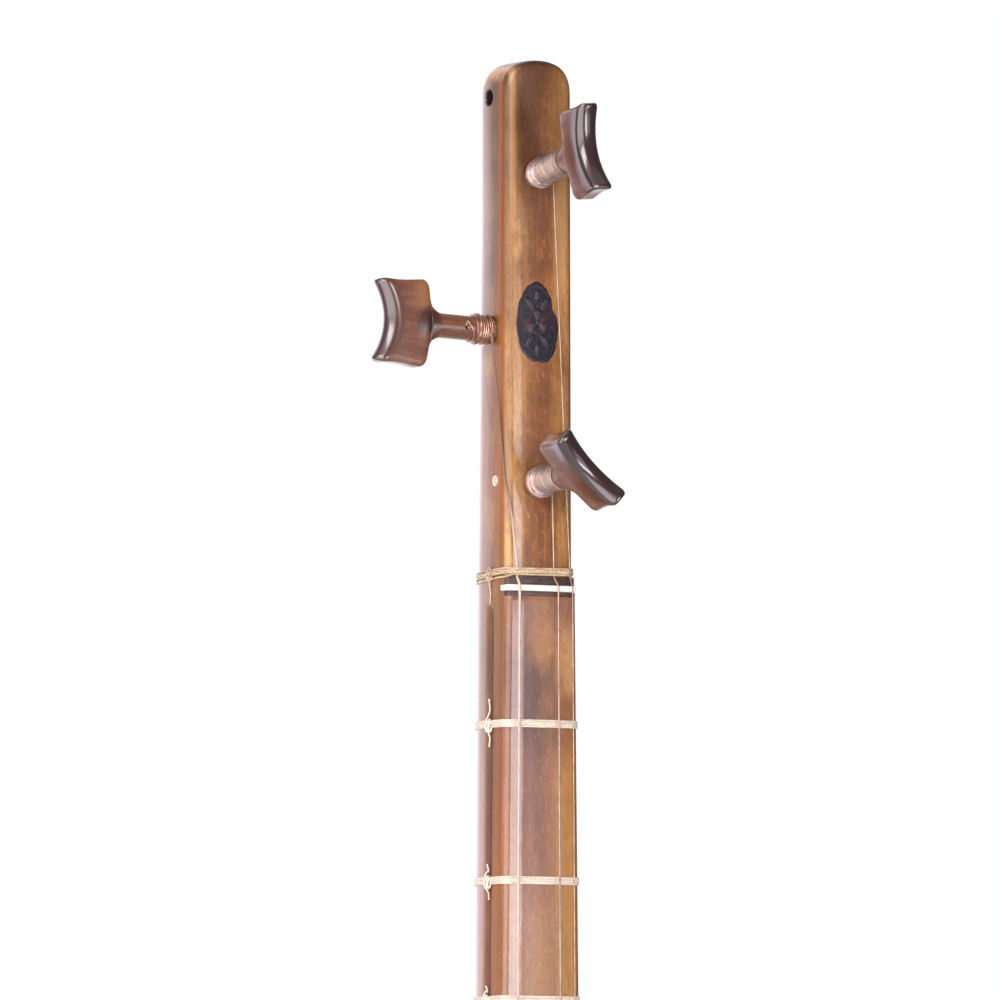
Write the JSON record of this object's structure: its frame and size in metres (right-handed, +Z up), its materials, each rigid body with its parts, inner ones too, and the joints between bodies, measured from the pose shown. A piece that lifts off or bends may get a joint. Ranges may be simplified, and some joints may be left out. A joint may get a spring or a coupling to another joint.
{
  "type": "tanbur",
  "caption": "Long-necked lute with a rounded peghead, crescent tuning pegs, tied gut frets, a slender neck and a pear-shaped ribbed bowl with a wooden soundboard.",
  "frame": {"origin": "centre of the hang hole, which runs sideways through the top of the peghead", "axes": "+Z up along the neck towards the peghead's top, -Y out of the front (fingerboard and soundboard face), +X to the right seen from the front"},
  "size_m": [0.1848, 0.1682, 0.9189],
  "materials": {
    "neck_wood": "high-gloss lacquer on figured walnut or mulberry",
    "fingerboard_wood": "gloss lacquer",
    "peg_wood": "polished",
    "dark_wood": "polished",
    "pale_wood": "gloss lacquer",
    "soundboard_wood": "satin lacquer on mulberry",
    "rib_wood": "gloss lacquer",
    "block_wood": "raw",
    "bone": "polished bone",
    "gut": "twisted gut",
    "string_steel": "plain drawn wire",
    "string_bronze": "bronze wire wound on a core",
    "pin_brass": "turned"
  },
  "bodies": {
    "root": {"bridge": "peg_wood", "fingerboard": "fingerboard_wood", "hitch_pin_bass": "pin_brass", "hitch_pin_treble_1": "pin_brass", "hitch_pin_treble_2": "pin_brass", "neck": "neck_wood", "neck_block": "block_wood", "nut": "bone", "nut_strip_lower": "dark_wood", "nut_strip_upper": "dark_wood", "rib_1": "rib_wood", "rib_2": "rib_wood", "rib_3": "rib_wood", "rib_4": "rib_wood", "rib_5": "rib_wood", "rib_6": "rib_wood", "rib_7": "rib_wood", "rib_8": "rib_wood", "rib_9": "rib_wood", "side_plug": "pale_wood", "soundboard": "soundboard_wood", "string_bass": "string_bronze", "string_holder": "peg_wood", "string_tie": "gut", "string_treble_1": "string_steel", "string_treble_2": "string_steel", "tail_block": "block_wood", "tail_cap": "neck_wood", "tail_saddle": "bone"},
    "fret_01_band": {"fret_01": "gut"},
    "fret_02_band": {"fret_02": "gut"},
    "fret_03_band": {"fret_03": "gut"},
    "fret_04_band": {"fret_04": "gut"},
    "fret_05_band": {"fret_05": "gut"},
    "fret_06_band": {"fret_06": "gut"},
    "fret_07_band": {"fret_07": "gut"},
    "fret_08_band": {"fret_08": "gut"},
    "fret_09_band": {"fret_09": "gut"},
    "fret_10_band": {"fret_10": "gut"},
    "fret_11_band": {"fret_11": "gut"},
    "fret_12_band": {"fret_12": "gut"},
    "fret_13_band": {"fret_13": "gut"},
    "fret_14_band": {"fret_14": "gut"},
    "peg_low_turning": {"peg_low": "peg_wood", "winding_low": "string_steel"},
    "peg_side_turning": {"peg_side": "peg_wood", "winding_side": "string_bronze"},
    "peg_top_turning": {"peg_top": "peg_wood", "winding_top": "string_steel"}
  },
  "joints": [
    {"name": "fret_01_slide", "type": "slide", "parent": "root", "child": "fret_01_band", "axis": [0, 0, 1], "range_m": [-0.003, 0.003]},
    {"name": "fret_02_slide", "type": "slide", "parent": "root", "child": "fret_02_band", "axis": [0, 0, 1], "range_m": [-0.003, 0.003]},
    {"name": "fret_03_slide", "type": "slide", "parent": "root", "child": "fret_03_band", "axis": [0, 0, 1], "range_m": [-0.003, 0.003]},
    {"name": "fret_04_slide", "type": "slide", "parent": "root", "child": "fret_04_band", "axis": [0, 0, 1], "range_m": [-0.003, 0.003]},
    {"name": "fret_05_slide", "type": "slide", "parent": "root", "child": "fret_05_band", "axis": [0, 0, 1], "range_m": [-0.003, 0.003]},
    {"name": "fret_06_slide", "type": "slide", "parent": "root", "child": "fret_06_band", "axis": [0, 0, 1], "range_m": [-0.003, 0.003]},
    {"name": "fret_07_slide", "type": "slide", "parent": "root", "child": "fret_07_band", "axis": [0, 0, 1], "range_m": [-0.003, 0.003]},
    {"name": "fret_08_slide", "type": "slide", "parent": "root", "child": "fret_08_band", "axis": [0, 0, 1], "range_m": [-0.003, 0.003]},
    {"name": "fret_09_slide", "type": "slide", "parent": "root", "child": "fret_09_band", "axis": [0, 0, 1], "range_m": [-0.003, 0.003]},
    {"name": "fret_10_slide", "type": "slide", "parent": "root", "child": "fret_10_band", "axis": [0, 0, 1], "range_m": [-0.003, 0.003]},
    {"name": "fret_11_slide", "type": "slide", "parent": "root", "child": "fret_11_band", "axis": [0, 0, 1], "range_m": [-0.003, 0.003]},
    {"name": "fret_12_slide", "type": "slide", "parent": "root", "child": "fret_12_band", "axis": [0, 0, 1], "range_m": [-0.002, 0.003]},
    {"name": "fret_13_slide", "type": "slide", "parent": "root", "child": "fret_13_band", "axis": [0, 0, 1], "range_m": [0, 0.003]},
    {"name": "fret_14_slide", "type": "slide", "parent": "root", "child": "fret_14_band", "axis": [0, 0, 1], "range_m": [0, 0.003]},
    {"name": "peg_top_turn", "type": "hinge", "parent": "root", "child": "peg_top_turning", "pos_m": [-0.001, -0.0092, -0.0204], "axis": [0.0599, -0.9801, 0.1891], "continuous": true},
    {"name": "peg_side_turn", "type": "hinge", "parent": "root", "child": "peg_side_turning", "pos_m": [-0.00985, -0.0014, -0.0601], "axis": [-0.9989, 0, 0.0471], "continuous": true},
    {"name": "peg_low_turn", "type": "hinge", "parent": "root", "child": "peg_low_turning", "pos_m": [-0.0007, -0.0092, -0.0995], "axis": [0.0417, -0.9949, 0.0924], "continuous": true}
  ]
}
